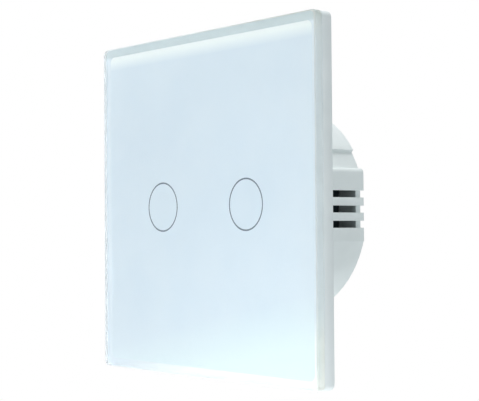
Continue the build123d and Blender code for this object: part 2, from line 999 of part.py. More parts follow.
def make_film_capacitor():
    low = power_board_back + part_lift
    box = block(
        around(0, film_width), (low, low + film_height), around(module_z + film_place, film_depth)
    )
    return fillet(box.edges().filter_by(Axis.Y), film_edge)


def make_varistor():
    middle = Pos(0, power_board_back + part_lift + varistor_radius, module_z + varistor_place)
    return middle * Cylinder(varistor_radius, varistor_thickness)


def make_fuse():
    low = power_board_back + part_lift
    x, z = corner_part_place
    return rod(fuse_radius, low, low + fuse_height, x, module_z + z)


def make_choke():
    low = power_board_back + part_lift
    x, z = -corner_part_place[0], module_z + corner_part_place[1]
    choke = rod(choke_radius - choke_waist, low, low + choke_height, x, z)
    choke += rod(choke_radius, low, low + choke_flange, x, z)
    return choke + rod(choke_radius, low + choke_height - choke_flange, low + choke_height, x, z)


def make_component_legs():
    low, high = power_board_front - lead_tail, power_board_back + part_lift
    legs = [rod(lead_radius, low, high, x, module_z + z) for x, z in component_leads()]
    return Compound(children=[one_solid(leg) for leg in legs])


# Every node of the switch, by name

def make_nodes():
    nodes = {
        "glass_panel": make_glass_panel(),
        "back_print": make_back_print(),
        "touch_rings": make_touch_rings(),
        "panel_frame": make_panel_frame(),
        "panel_clips": make_panel_clips(),
        "bearing_plate": make_bearing_plate(),
        "front_cover": make_front_cover(),
        "rear_housing": make_rear_housing(),
        "housing_screws": make_housing_screws(),
        "touch_board": make_touch_board(),
        "touch_board_screws": make_touch_board_screws(),
        "indicator_lamps": make_indicator_lamps(),
        "touch_chip": make_touch_chip(),
        "chip_legs": make_chip_legs(),
        "pin_strip": make_pin_strip(),
        "header_pins": make_header_pins(),
        "socket_strip": make_socket_strip(),
        "power_board": make_power_board(),
        "terminal_block": make_terminal_block(),
        "terminal_tabs": make_terminal_tabs(),
        "smoothing_capacitor": make_smoothing_capacitor(),
        "film_capacitor": make_film_capacitor(),
        "varistor": make_varistor(),
        "fuse": make_fuse(),
        "choke": make_choke(),
        "component_legs": make_component_legs(),
    }
    for name, side in (("left", -1), ("right", 1)):
        x, z = guide_places[0] if side < 0 else guide_places[1]
        nodes[f"light_guide_{name}"] = make_light_guide(x, z)
        nodes[f"touch_spring_{name}"] = make_touch_spring(x, z)
        nodes[f"relay_base_{name}"] = make_relay_base(side)
        nodes[f"relay_case_{name}"] = make_relay_case(side)
        nodes[f"coil_bobbin_{name}"] = make_coil_bobbin(side)
        nodes[f"coil_winding_{name}"] = make_coil_winding(side)
        nodes[f"relay_core_{name}"] = make_relay_core(side)
        nodes[f"relay_yoke_{name}"] = make_relay_yoke(side)
        nodes[f"coil_pins_{name}"] = make_coil_pins(side)
        nodes[f"armature_{name}"] = make_relay_armature(side)
        nodes[f"contact_blade_{name}"] = make_contact_blade(side)
        nodes[f"moving_contact_{name}"] = make_moving_contact(side)
        nodes[f"fixed_contact_{name}"] = make_fixed_contact(side)
    for index, x in enumerate(pole_places):
        nodes[f"terminal_screw_{index + 1}"] = make_terminal_screw(x)
        nodes[f"clamp_cage_{index + 1}"] = make_clamp_cage(x)
    return nodes


os.makedirs("parts", exist_ok=True)
for node_name, shape in make_nodes().items():
    export_step(shape, f"parts/{node_name}.step")
print(f"touch spring: least gap between turns {coil_gap():.2f} mm")
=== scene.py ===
# Touch light switch: its looks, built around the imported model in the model's own frame, in metres.
# The sections follow the switch as it is put together, from the housing to the glass.
from math import copysign, cos, pi, radians, sin

import bmesh
import bpy
from mathutils import Matrix, Vector


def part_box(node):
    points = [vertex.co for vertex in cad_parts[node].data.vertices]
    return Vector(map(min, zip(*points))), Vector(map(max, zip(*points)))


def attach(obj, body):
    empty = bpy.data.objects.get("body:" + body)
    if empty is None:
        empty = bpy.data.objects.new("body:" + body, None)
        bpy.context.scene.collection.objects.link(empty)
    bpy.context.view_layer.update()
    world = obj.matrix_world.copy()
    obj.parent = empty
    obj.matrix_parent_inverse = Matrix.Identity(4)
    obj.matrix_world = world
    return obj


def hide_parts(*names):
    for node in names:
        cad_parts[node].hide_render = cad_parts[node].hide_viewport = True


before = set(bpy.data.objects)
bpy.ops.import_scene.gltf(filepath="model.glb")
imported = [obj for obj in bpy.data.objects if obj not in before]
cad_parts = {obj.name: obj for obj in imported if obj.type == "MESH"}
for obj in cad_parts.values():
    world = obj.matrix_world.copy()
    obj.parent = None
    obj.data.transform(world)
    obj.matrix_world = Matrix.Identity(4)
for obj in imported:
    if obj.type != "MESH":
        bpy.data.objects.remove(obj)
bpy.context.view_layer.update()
scene = bpy.context.scene
mm = 0.001
micron = 0.000001

# Rear housing: a deep cup of matt white plastic, moulded in one shot, with flat flanks and vent slots.
# Four bosses inside it take the screws that come through the front cover.
# Its edges are softened a little, as the mould leaves them.
weld_distance = 0.1 * micron
flat_angle = radians(0.5)
sharp_angle = radians(30)
patch_share = 0.25


def srgb(red, green, blue):
    """A colour as it reads on a screen, 0 to 255, as the linear colour that a shader takes."""
    shares = [value / 255 for value in (red, green, blue)]
    return tuple(s / 12.92 if s <= 0.04045 else ((s + 0.055) / 1.055) ** 2.4 for s in shares) + (1.0,)


def new_finish(name, metallic=0.0, roughness=0.5, gloss=0.5, coat=0.0, coat_roughness=0.05):
    """A new material, its node tree and its shader."""
    finish = bpy.data.materials.new(name)
    finish.use_nodes = True
    shader = finish.node_tree.nodes["Principled BSDF"]
    shader.inputs["Metallic"].default_value = metallic
    shader.inputs["Roughness"].default_value = roughness
    shader.inputs["Specular IOR Level"].default_value = gloss
    shader.inputs["Coat Weight"].default_value = coat
    shader.inputs["Coat Roughness"].default_value = coat_roughness
    return finish, finish.node_tree, shader


def place_on_piece(tree, stretch=(1.0, 1.0, 1.0)):
    """Object coordinates in metres, squeezed along an axis where a finish has a direction."""
    source = tree.nodes.new("ShaderNodeTexCoord")
    mapping = tree.nodes.new("ShaderNodeMapping")
    mapping.inputs["Scale"].default_value = stretch
    tree.links.new(source.outputs["Object"], mapping.inputs["Vector"])
    return mapping.outputs["Vector"]


def speckle(tree, place, size, detail=2.0):
    """Soft noise whose grains are about as large as size."""
    node = tree.nodes.new("ShaderNodeTexNoise")
    node.inputs["Scale"].default_value = 1 / size
    node.inputs["Detail"].default_value = detail
    tree.links.new(place, node.inputs["Vector"])
    return node.outputs["Fac"]


def spread(tree, value, low, high, from_low=0.35, from_high=0.65):
    """A value brought to the range from low to high."""
    node = tree.nodes.new("ShaderNodeMapRange")
    for name, number in (("From Min", from_low), ("From Max", from_high), ("To Min", low), ("To Max", high)):
        node.inputs[name].default_value = number
    tree.links.new(value, node.inputs["Value"])
    return node.outputs["Result"]


def blend_colours(tree, share, first, second):
    """A colour between two, by a share that varies over the piece."""
    node = tree.nodes.new("ShaderNodeMix")
    node.data_type = "RGBA"
    tree.links.new(share, node.inputs["Factor"])
    for socket, colour in zip([s for s in node.inputs if s.type == "RGBA"], (first, second)):
        if isinstance(colour, bpy.types.NodeSocket):
            tree.links.new(colour, socket)
        else:
            socket.default_value = colour
    return [s for s in node.outputs if s.type == "RGBA"][0]


def raise_surface(tree, shader, height, depth, under=None):
    """A bump of a depth in metres, over another where one is given."""
    node = tree.nodes.new("ShaderNodeBump")
    node.inputs["Distance"].default_value = depth
    tree.links.new(height, node.inputs["Height"])
    if under is not None:
        tree.links.new(under, node.inputs["Normal"])
    tree.links.new(node.outputs["Normal"], shader.inputs["Normal"])
    return node.outputs["Normal"]


def moulded_plastic(
    name, colour, shade, roughness, grain=0.25 * mm, depth=4 * micron, gloss=0.5, cloud=9 * mm
):
    """Plastic with a fine mould texture, faint clouding of its colour and uneven gloss."""
    finish, tree, shader = new_finish(name, roughness=roughness, gloss=gloss)
    place = place_on_piece(tree)
    clouds = spread(tree, speckle(tree, place, cloud), low=0.0, high=1.0)
    tree.links.new(blend_colours(tree, clouds, colour, shade), shader.inputs["Base Color"])
    patches = speckle(tree, place, cloud * patch_share)
    uneven = spread(tree, patches, low=roughness - 0.05, high=roughness + 0.07)
    tree.links.new(uneven, shader.inputs["Roughness"])
    raise_surface(tree, shader, speckle(tree, place, grain, detail=3.0), depth)
    return finish


def linked(name, mesh):
    """A new object that holds a mesh, at the origin."""
    piece = bpy.data.objects.new(name, mesh)
    scene.collection.objects.link(piece)
    return piece


def made_plain(piece):
    """The piece with its modifiers worked into a plain mesh."""
    graph = bpy.context.evaluated_depsgraph_get()
    mesh = bpy.data.meshes.new_from_object(piece.evaluated_get(graph), depsgraph=graph)
    piece.modifiers.clear()
    piece.data = mesh
    return piece


def smoothed(mesh, angle=sharp_angle):
    """Smooth shading that stays crisp at edges sharper than an angle."""
    if "custom_normal" in mesh.attributes:
        mesh.attributes.remove(mesh.attributes["custom_normal"])
    mesh.shade_smooth()
    mesh.set_sharp_from_angle(angle=angle)


def merged_shape(node):
    """A CAD node's solids with their triangles joined into whole flat faces."""
    shape = bmesh.new()
    shape.from_mesh(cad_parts[node].data)
    bmesh.ops.remove_doubles(shape, verts=shape.verts, dist=weld_distance)
    bmesh.ops.dissolve_limit(shape, angle_limit=flat_angle, verts=shape.verts, edges=shape.edges)
    return shape


def softened(node, name, body, finish, edge_radius, segments=2):
    """A piece in place of a CAD node: the same solid with its sharp edges rounded."""
    shape = merged_shape(node)
    mesh = bpy.data.meshes.new(name)
    shape.to_mesh(mesh)
    shape.free()
    piece = linked(name, mesh)
    bevel = piece.modifiers.new("soft edges", "BEVEL")
    bevel.width = edge_radius
    bevel.segments = segments
    bevel.limit_method = "ANGLE"
    bevel.angle_limit = sharp_angle
    made_plain(piece)
    smoothed(piece.data)
    piece.data.materials.clear()
    piece.data.materials.append(finish)
    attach(piece, body)
    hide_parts(node)
    return piece


def finish_node(node, finish):
    """A CAD node that keeps its own shape and gets a finish."""
    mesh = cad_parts[node].data
    mesh.materials.clear()
    mesh.materials.append(finish)


housing_plastic = moulded_plastic(
    "housing_plastic", srgb(229, 236, 236), srgb(224, 231, 231), roughness=0.48, grain=0.2 * mm
)
softened("rear_housing", "housing_cup", "switch_module", housing_plastic, 0.12 * mm)

# Power board: green lacquered glass laminate with tinned joints on its front side.
# The relays, the terminals and the mains parts are soldered into it from behind.
lacquer_green = srgb(24, 96, 58)
track_green = srgb(46, 126, 80)
weave_size = 0.5 * mm
track_spacing = 1.7 * mm
track_unevenness = 0.9
track_depth = 18 * micron
rim_slant = 0.5


def worked(tree, operation, first, second):
    """A sum on two numbers or sockets."""
    node = tree.nodes.new("ShaderNodeMath")
    node.operation = operation
    for socket, source in zip(node.inputs, (first, second)):
        if isinstance(source, bpy.types.NodeSocket):
            tree.links.new(source, socket)
        else:
            socket.default_value = source
    return node.outputs[0]


def lacquered_board(name):
    """Green solder lacquer over copper tracks, which show as paler raised lines."""
    finish, tree, shader = new_finish(name, roughness=0.3, gloss=0.5, coat=0.4, coat_roughness=0.12)
    place = place_on_piece(tree, (1.0, 0.0, 1.0))
    distances = []
    for feature in ("F1", "F2"):
        cells = tree.nodes.new("ShaderNodeTexVoronoi")
        cells.distance = "CHEBYCHEV"
        cells.feature = feature
        cells.inputs["Scale"].default_value = 1 / track_spacing
        cells.inputs["Randomness"].default_value = track_unevenness
        tree.links.new(place, cells.inputs["Vector"])
        distances.append(cells.outputs["Distance"])
    between = worked(tree, "SUBTRACT", distances[1], distances[0])
    bare = spread(tree, between, low=0.0, high=1.0, from_low=0.09, from_high=0.13)
    tree.links.new(blend_colours(tree, bare, track_green, lacquer_green), shader.inputs["Base Color"])
    weave = speckle(tree, place, weave_size)
    tree.links.new(spread(tree, weave, low=0.24, high=0.4), shader.inputs["Roughness"])
    woven = raise_surface(tree, shader, weave, 3 * micron)
    tracks = spread(tree, bare, low=1.0, high=0.0, from_low=0.0, from_high=1.0)
    raise_surface(tree, shader, tracks, track_depth, under=woven)
    return finish


def finish_rim(piece, finish):
    """A second finish on the faces round a board or a plate, where it was cut."""
    piece.data.materials.append(finish)
    for face in piece.data.polygons:
        if abs(face.normal.y) < rim_slant:
            face.material_index = 1


board_laminate = lacquered_board("board_laminate")
cut_laminate = moulded_plastic(
    "cut_laminate", srgb(176, 172, 122), srgb(160, 158, 108), roughness=0.6,
    grain=0.12 * mm, depth=8 * micron, cloud=2 * mm,
)
power_laminate = softened(
    "power_board", "power_laminate", "switch_module", board_laminate, 0.06 * mm, segments=1
)
finish_rim(power_laminate, cut_laminate)
rolling_direction = (1.0, 1.0, 0.05)


def plated_metal(name, colour, shade, roughness, grain=0.12 * mm, depth=1.5 * micron, cloud=3 * mm):
    """Bright metal with fine rolling marks along one axis and faint clouds in its plating."""
    finish, tree, shader = new_finish(name, metallic=1.0, roughness=roughness)
    marks = speckle(tree, place_on_piece(tree, rolling_direction), grain, detail=4.0)
    clouds = spread(tree, speckle(tree, place_on_piece(tree), cloud), low=0.0, high=1.0)
    tree.links.new(blend_colours(tree, clouds, colour, shade), shader.inputs["Base Color"])
    streaks = spread(tree, marks, low=roughness - 0.08, high=roughness + 0.12)
    tree.links.new(streaks, shader.inputs["Roughness"])
    raise_surface(tree, shader, marks, depth)
    return finish


tinned_metal = plated_metal("tinned_metal", srgb(206, 206, 202), srgb(184, 186, 184), 0.3)
finish_node("component_legs", tinned_metal)


def new_tree(name, sizes):
    """An empty Geometry Nodes tree with one input for each named size."""
    tree = bpy.data.node_groups.new(name, "GeometryNodeTree")
    tree.interface.new_socket("Geometry", in_out="INPUT", socket_type="NodeSocketGeometry")
    tree.interface.new_socket("Geometry", in_out="OUTPUT", socket_type="NodeSocketGeometry")
    for size_name, value in sizes.items():
        kind = "NodeSocketInt" if isinstance(value, int) else "NodeSocketFloat"
        tree.interface.new_socket(size_name, in_out="INPUT", socket_type=kind)
    start = tree.nodes.new("NodeGroupInput")
    end = tree.nodes.new("NodeGroupOutput")
    return tree, start, end


def node_of(tree, kind, links=(), **values):
    """A node with its own settings, and its inputs linked to a socket or set to a value."""
    node = tree.nodes.new(kind)
    for name, value in values.items():
        setattr(node, name, value)
    for socket, source in links:
        if isinstance(source, bpy.types.NodeSocket):
            tree.links.new(source, node.inputs[socket])
        else:
            node.inputs[socket].default_value = source
    return node


def close_tree(tree, end, geometry, finish):
    """The tree's last two steps: real geometry in place of instances, and the finish."""
    real = node_of(tree, "GeometryNodeRealizeInstances", [(0, geometry)])
    painted = node_of(tree, "GeometryNodeSetMaterial", [
        ("Geometry", real.outputs[0]), ("Material", finish),
    ])
    tree.links.new(painted.outputs[0], end.inputs[0])


def grown(name, tree, sizes, points=()):
    """The plain mesh that a tree makes from points and sizes, as a new piece."""
    mesh = bpy.data.meshes.new(name + "_points")
    mesh.from_pydata([tuple(p) for p in points], [], [])
    holder = linked(name + "_holder", mesh)
    modifier = holder.modifiers.new("build", "NODES")
    modifier.node_group = tree
    for item in tree.interface.items_tree:
        if item.item_type == "SOCKET" and item.in_out == "INPUT" and item.name in sizes:
            modifier[item.identifier] = sizes[item.name]
    graph = bpy.context.evaluated_depsgraph_get()
    result = bpy.data.meshes.new_from_object(holder.evaluated_get(graph), depsgraph=graph)
    bpy.data.objects.remove(holder)
    smoothed(result)
    return linked(name, result)


def solids_of(node):
    """The lowest and highest corner of each separate solid in a CAD node."""
    shape = merged_shape(node)
    left, boxes = set(shape.verts), []
    while left:
        group, edge = set(), [left.pop()]
        while edge:
            vertex = edge.pop()
            group.add(vertex)
            for link in vertex.link_edges:
                other = link.other_vert(vertex)
                if other in left:
                    left.discard(other)
                    edge.append(other)
        corners = [v.co for v in group]
        low = Vector([min(c[i] for c in corners) for i in range(3)])
        high = Vector([max(c[i] for c in corners) for i in range(3)])
        boxes.append((low, high))
    shape.free()
    return sorted(boxes, key=lambda box: (round(box[0].x, 6), round(box[0].z, 6)))


into_wall = (-pi / 2, 0.0, 0.0)
into_room = (pi / 2, 0.0, 0.0)
board_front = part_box("power_board")[0].y
solder_sides = 20


def solder_tree(sizes):
    """A cone of solder at each point, resting on the board and drawn up the leg."""
    tree, start, end = new_tree("solder_joints", sizes)
    cone = node_of(tree, "GeometryNodeMeshCone", [
        ("Vertices", solder_sides), ("Radius Top", start.outputs["Tip Radius"]),
        ("Radius Bottom", start.outputs["Foot Radius"]), ("Depth", start.outputs["Height"]),
    ])
    placed = node_of(tree, "GeometryNodeInstanceOnPoints", [
        ("Points", start.outputs[0]), ("Instance", cone.outputs["Mesh"]), ("Rotation", into_room),
    ])
    close_tree(tree, end, placed.outputs[0], tinned_metal)
    return tree


solder_sizes = {"Foot Radius": 0.85 * mm, "Tip Radius": 0.34 * mm, "Height": 0.6 * mm}
leg_feet = [
    Vector(((low.x + high.x) / 2, board_front, (low.z + high.z) / 2))
    for low, high in solids_of("component_legs")
]
solder = grown("solder_joints", solder_tree(solder_sizes), solder_sizes, leg_feet)
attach(solder, "switch_module")

# Mains parts on the power board: a smoothing capacitor in a shrunk sleeve, a film capacitor in yellow
# resin, a blue dipped varistor, a fuse in a brown case and a ferrite choke with its copper winding.
# Their wire legs are soldered through the board.
capacitor_sleeve = moulded_plastic(
    "capacitor_sleeve", srgb(34, 40, 62), srgb(28, 33, 54), 0.28, grain=0.6 * mm, depth=2 * micron
)
film_resin = moulded_plastic(
    "film_resin", srgb(226, 186, 62), srgb(214, 172, 54), 0.3, grain=0.8 * mm, depth=3 * micron
)
varistor_resin = moulded_plastic(
    "varistor_resin", srgb(54, 104, 172), srgb(46, 92, 156), 0.34, grain=1.2 * mm, depth=22 * micron
)
fuse_case = moulded_plastic("fuse_case", srgb(92, 74, 62), srgb(80, 64, 54), 0.36)
ferrite = moulded_plastic(
    "ferrite", srgb(66, 66, 68), srgb(54, 54, 57), 0.6, grain=0.12 * mm, depth=9 * micron
)
softened(
    "smoothing_capacitor", "capacitor_can", "switch_module", capacitor_sleeve,
    0.1 * mm,
)
softened("film_capacitor", "film_box", "switch_module", film_resin, 0.25 * mm, segments=3)
softened("varistor", "varistor_disc", "switch_module", varistor_resin, 0.8 * mm, segments=4)
softened("fuse", "fuse_can", "switch_module", fuse_case, 0.25 * mm, segments=3)
softened("choke", "choke_drum", "switch_module", ferrite, 0.12 * mm)

copper_wire = plated_metal("copper_wire", srgb(196, 112, 62), srgb(176, 94, 50), 0.26)
steps_per_turn = 24


def helix(tree, turns, radius, length, wire_radius, sides):
    """Wire of one thickness wound round an upright axis, each turn as wide as the last."""
    path = node_of(tree, "GeometryNodeCurveSpiral", [
        ("Resolution", steps_per_turn), ("Rotations", turns), ("Start Radius", radius),
        ("End Radius", radius), ("Height", length),
    ])
    wire = node_of(tree, "GeometryNodeCurvePrimitiveCircle", [
        ("Resolution", sides), ("Radius", wire_radius),
    ])
    tube = node_of(tree, "GeometryNodeCurveToMesh", [
        ("Curve", path.outputs[0]), ("Profile Curve", wire.outputs[0]), ("Fill Caps", True),
    ])
    return tube.outputs[0]


def winding_tree(name, sizes, finish, sides):
    """A coil of wire or a thread at each point, its axis running into the wall."""
    tree, start, end = new_tree(name, sizes)
    coil = helix(tree, *[start.outputs[key] for key in ("Turns", "Radius", "Length", "Wire Radius")], sides)
    placed = node_of(tree, "GeometryNodeInstanceOnPoints", [
        ("Points", start.outputs[0]), ("Instance", coil), ("Rotation", into_wall),
    ])
    close_tree(tree, end, placed.outputs[0], finish)
    return tree


def wound(name, body, finish, place, length, radius, wire_radius, turns, node=None, sides=8):
    """A coil of wire or a thread from a place on its axis, running into the wall."""
    sizes = {"Turns": turns, "Radius": radius, "Length": length, "Wire Radius": wire_radius}
    piece = grown(name, winding_tree(name + "_tree", sizes, finish, sides), sizes, [place])
    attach(piece, body)
    if node:
        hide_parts(node)
    return piece


choke_low, choke_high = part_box("choke")
choke_middle = (choke_low + choke_high) / 2
choke_wire_radius = 0.16 * mm
choke_flange = 1.0 * mm
choke_winding_inset = 0.45 * mm
choke_turn_pitch = 2.1 * choke_wire_radius
choke_winding_length = choke_high.y - choke_low.y - 2 * choke_flange - 4 * choke_wire_radius
wound(
    "choke_winding", "switch_module", copper_wire,
    (choke_middle.x, choke_low.y + choke_flange + 2 * choke_wire_radius, choke_middle.z),
    choke_winding_length, (choke_high.x - choke_low.x) / 2 - choke_winding_inset, choke_wire_radius,
    choke_winding_length / choke_turn_pitch,
)

# Terminals: a grey flame retardant block with three chambers. In each, a plated steel screw draws a
# nickel plated cage up against a copper alloy tab, with the wire between them. The cage's bore and
# inner walls stand a hair further out than its solid's, so that the screw's thread runs clear of them.
terminal_plastic = moulded_plastic("terminal_plastic", srgb(112, 116, 120), srgb(102, 106, 110), 0.42)
cage_brass = plated_metal("cage_brass", srgb(214, 206, 184), srgb(196, 186, 162), 0.3)
contact_alloy = plated_metal("contact_alloy", srgb(206, 150, 104), srgb(184, 130, 88), 0.3)
zinc_steel = plated_metal("zinc_steel", srgb(204, 208, 210), srgb(186, 192, 196), 0.32)
softened("terminal_block", "terminal_body", "switch_module", terminal_plastic, 0.12 * mm)
finish_node("terminal_tabs", contact_alloy)
clamp_pitch = 0.5 * mm
clamp_thread_depth = 0.09 * mm
clamp_thread_length = 3.0 * mm
clamp_screw_radius = 1.45 * mm
thread_sides = 4
cage_bore_radius = 1.5 * mm
cage_mouth = 2.4 * mm
thread_room = 0.07 * mm
for pole in (1, 2, 3):
    screw_low, screw_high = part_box(f"terminal_screw_{pole}")
    screw_middle = (screw_low + screw_high) / 2
    softened(
        f"terminal_screw_{pole}", f"clamp_screw_body_{pole}", f"clamp_screw_{pole}",
        zinc_steel, 0.12 * mm,
    )
    wound(
        f"clamp_screw_thread_{pole}", f"clamp_screw_{pole}", zinc_steel,
        (screw_middle.x, screw_low.y + clamp_thread_depth, screw_middle.z), clamp_thread_length,
        clamp_screw_radius - clamp_thread_depth / 2, clamp_thread_depth,
        clamp_thread_length / clamp_pitch, sides=thread_sides,
    )
    cage = softened(
        f"clamp_cage_{pole}", f"cage_{pole}", f"wire_clamp_{pole}", cage_brass, 0.15 * mm
    )
    for corner in cage.data.vertices:
        outwards = Vector((corner.co.x - screw_middle.x, 0.0, corner.co.z - screw_middle.z))
        if outwards.length < cage_bore_radius + thread_room:
            corner.co += outwards.normalized() * thread_room
        elif abs(outwards.x) < cage_bore_radius and abs(outwards.z) > cage_mouth:
            corner.co.x += copysign(thread_room, outwards.x)

# Relays: one for each touch point. A dark case snaps onto a black base, and inside it a coil on a
# bobbin pulls a hinged iron armature, whose copper blade carries the silver contact.
relay_case_plastic = moulded_plastic(
    "relay_case_plastic", srgb(54, 65, 70), srgb(47, 58, 63), 0.5, grain=0.3 * mm, depth=3 * micron, gloss=0.1
)
relay_base_plastic = moulded_plastic("relay_base_plastic", srgb(46, 46, 50), srgb(38, 38, 42), 0.45)
bobbin_plastic = moulded_plastic("bobbin_plastic", srgb(222, 214, 190), srgb(212, 202, 176), 0.45)
soft_iron = plated_metal("soft_iron", srgb(186, 186, 182), srgb(164, 164, 162), 0.34)
silver_alloy = plated_metal("silver_alloy", srgb(226, 224, 218), srgb(206, 204, 200), 0.24)
coil_wire_radius = 0.1 * mm
coil_turn_pitch = 2.05 * coil_wire_radius
for side in ("left", "right"):
    arm = f"relay_arm_{side}"
    softened(
        f"relay_case_{side}", f"relay_cover_{side}", "switch_module",
        relay_case_plastic, 0.2 * mm, segments=3,
    )
    softened(
        f"relay_base_{side}", f"relay_foot_{side}", "switch_module",
        relay_base_plastic, 0.1 * mm,
    )
    finish_node(f"coil_bobbin_{side}", bobbin_plastic)
    finish_node(f"relay_core_{side}", soft_iron)
    finish_node(f"relay_yoke_{side}", soft_iron)
    finish_node(f"coil_pins_{side}", tinned_metal)
    finish_node(f"fixed_contact_{side}", contact_alloy)
    coil_low, coil_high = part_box(f"coil_winding_{side}")
    coil_middle = (coil_low + coil_high) / 2
    coil_length = coil_high.y - coil_low.y - 4 * coil_wire_radius
    wound(
        f"coil_turns_{side}", "switch_module", copper_wire,
        (coil_middle.x, coil_low.y + 2 * coil_wire_radius, coil_middle.z), coil_length,
        (coil_high.x - coil_low.x) / 2 - coil_wire_radius, coil_wire_radius,
        coil_length / coil_turn_pitch, node=f"coil_winding_{side}",
    )
    softened(f"armature_{side}", f"armature_plate_{side}", arm, soft_iron, 0.08 * mm)
    finish_node(f"contact_blade_{side}", contact_alloy)
    finish_node(f"moving_contact_{side}", silver_alloy)

# Connector: a black pin strip on the touch board and a black socket strip on the power board.
# Five tinned pins join them, so the two boards plug together.
black_plastic = moulded_plastic("black_plastic", srgb(44, 44, 48), srgb(36, 36, 40), 0.42)
softened("pin_strip", "pin_carrier", "switch_module", black_plastic, 0.1 * mm)
softened("socket_strip", "socket_carrier", "switch_module", black_plastic, 0.1 * mm)
finish_node("header_pins", tinned_metal)

# Touch board: a second laminate behind the cover, with the sensing chip on its rear side.
# Four small lamps stand on its front, and four screws hold it to the cover's posts.
lamp_resin = moulded_plastic(
    "lamp_resin", srgb(236, 232, 190), srgb(228, 222, 172), 0.2, grain=0.4 * mm, depth=2 * micron
)
touch_laminate = softened(
    "touch_board", "touch_laminate", "switch_module", board_laminate, 0.06 * mm, segments=1
)
finish_rim(touch_laminate, cut_laminate)
softened("touch_chip", "chip_body", "switch_module", black_plastic, 0.1 * mm)
finish_node("chip_legs", tinned_metal)
softened("indicator_lamps", "lamp_bodies", "switch_module", lamp_resin, 0.08 * mm)


def drawn_up(tree, face, width, steps):
    """A closed solid drawn up from a flat face in steps, each with its rise and the width it ends at."""
    shape, top = face, None
    for rise, next_width in steps:
        step = node_of(tree, "GeometryNodeExtrudeMesh", [("Mesh", shape), ("Offset Scale", rise)])
        if top is not None:
            tree.links.new(top, step.inputs["Selection"])
        wider = node_of(tree, "GeometryNodeScaleElements", [
            ("Geometry", step.outputs["Mesh"]), ("Selection", step.outputs["Top"]),
            ("Scale", worked(tree, "DIVIDE", next_width, width)),
        ])
        shape, top, width = wider.outputs[0], step.outputs["Top"], next_width
    base = node_of(tree, "GeometryNodeFlipFaces", [("Mesh", face)])
    joined = node_of(tree, "GeometryNodeJoinGeometry")
    tree.links.new(base.outputs[0], joined.inputs[0])
    tree.links.new(shape, joined.inputs[0])
    welded = node_of(tree, "GeometryNodeMergeByDistance", [
        ("Geometry", joined.outputs[0]), ("Distance", weld_distance),
    ])
    return welded.outputs[0]


def size_of(tree, x, y, z):
    """Three sizes as one vector."""
    return node_of(tree, "ShaderNodeCombineXYZ", [(0, x), (1, y), (2, z)]).outputs[0]


def moved_up(tree, shape, height):
    """A shape moved up its axis."""
    moved = node_of(tree, "GeometryNodeTransform", [
        ("Geometry", shape), ("Translation", size_of(tree, 0.0, 0.0, height)),
    ])
    return moved.outputs[0]


screw_sides = 28
tip_share = 0.4
thread_sink = 0.5
# The second cut of the cross ends a little above the first, so that their floors don't coincide.
recess_cuts = (2.0, 1.9)


def screw_tree(name, sizes, head_steps, turn, finish):
    """A cross recessed screw at each point: its pointed tip there, then its threaded shank and its head."""
    tree, start, end = new_tree(name, sizes)
    shank, head, head_height, length = [
        start.outputs[key] for key in ("Shank Radius", "Head Radius", "Head Height", "Length")
    ]
    tip = worked(tree, "MULTIPLY", shank, tip_share)
    shank_length = worked(tree, "SUBTRACT", length, worked(tree, "ADD", head_height, shank))
    disc = node_of(
        tree, "GeometryNodeMeshCircle", [("Vertices", screw_sides), ("Radius", tip)], fill_type="NGON"
    )
    steps = [(shank, shank), (shank_length, shank)]
    for rise_share, width_share in head_steps:
        rise = worked(tree, "MULTIPLY", head_height, rise_share)
        steps.append((rise, worked(tree, "MULTIPLY", head, width_share)))
    bar = drawn_up(tree, disc.outputs[0], tip, steps)
    arm, width = start.outputs["Recess Length"], start.outputs["Recess Width"]
    head_end = bar
    for long_x, long_y, depth_share in zip((arm, width), (width, arm), recess_cuts):
        depth = worked(tree, "MULTIPLY", start.outputs["Recess Depth"], depth_share)
        cutter = node_of(tree, "GeometryNodeMeshCube", [("Size", size_of(tree, long_x, long_y, depth))])
        cut = node_of(tree, "GeometryNodeMeshBoolean", [
            ("Mesh 1", head_end), ("Mesh 2", moved_up(tree, cutter.outputs[0], length)),
        ], operation="DIFFERENCE")
        head_end = cut.outputs[0]
    rib = start.outputs["Thread Depth"]
    turns = worked(tree, "DIVIDE", shank_length, start.outputs["Pitch"])
    sunk = worked(tree, "MULTIPLY", rib, thread_sink)
    thread = helix(tree, turns, worked(tree, "SUBTRACT", shank, sunk), shank_length, rib, thread_sides)
    whole = node_of(tree, "GeometryNodeJoinGeometry")
    tree.links.new(head_end, whole.inputs[0])
    tree.links.new(moved_up(tree, thread, worked(tree, "SUBTRACT", shank, rib)), whole.inputs[0])
    placed = node_of(tree, "GeometryNodeInstanceOnPoints", [
        ("Points", start.outputs[0]), ("Instance", whole.outputs[0]), ("Rotation", turn),
    ])
    close_tree(tree, end, placed.outputs[0], finish)
    return tree


def screws_for(node, name, sizes, head_steps, heads_behind):
    """Screws in place of a node's plain ones, their heads towards the wall or towards the room."""
    tips = [
        Vector(((low.x + high.x) / 2, low.y if heads_behind else high.y, (low.z + high.z) / 2))
        for low, high in solids_of(node)
    ]
    turn = into_wall if heads_behind else into_room
    piece = grown(name, screw_tree(name + "_tree", sizes, head_steps, turn, zinc_steel), sizes, tips)
    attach(piece, "switch_module")
    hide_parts(node)
    return piece


board_screw_low, board_screw_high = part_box("touch_board_screws")
pan_head = ((0.0, 1.0), (0.5, 1.0), (0.3, 0.88), (0.2, 0.6))
screws_for("touch_board_screws", "board_screws", {
    "Length": board_screw_high.y - board_screw_low.y, "Shank Radius": 0.6 * mm, "Head Radius": 1.3 * mm,
    "Head Height": 0.8 * mm, "Recess Length": 1.3 * mm, "Recess Width": 0.32 * mm,
    "Recess Depth": 0.4 * mm, "Pitch": 0.5 * mm, "Thread Depth": 0.08 * mm,
}, pan_head, heads_behind=True)


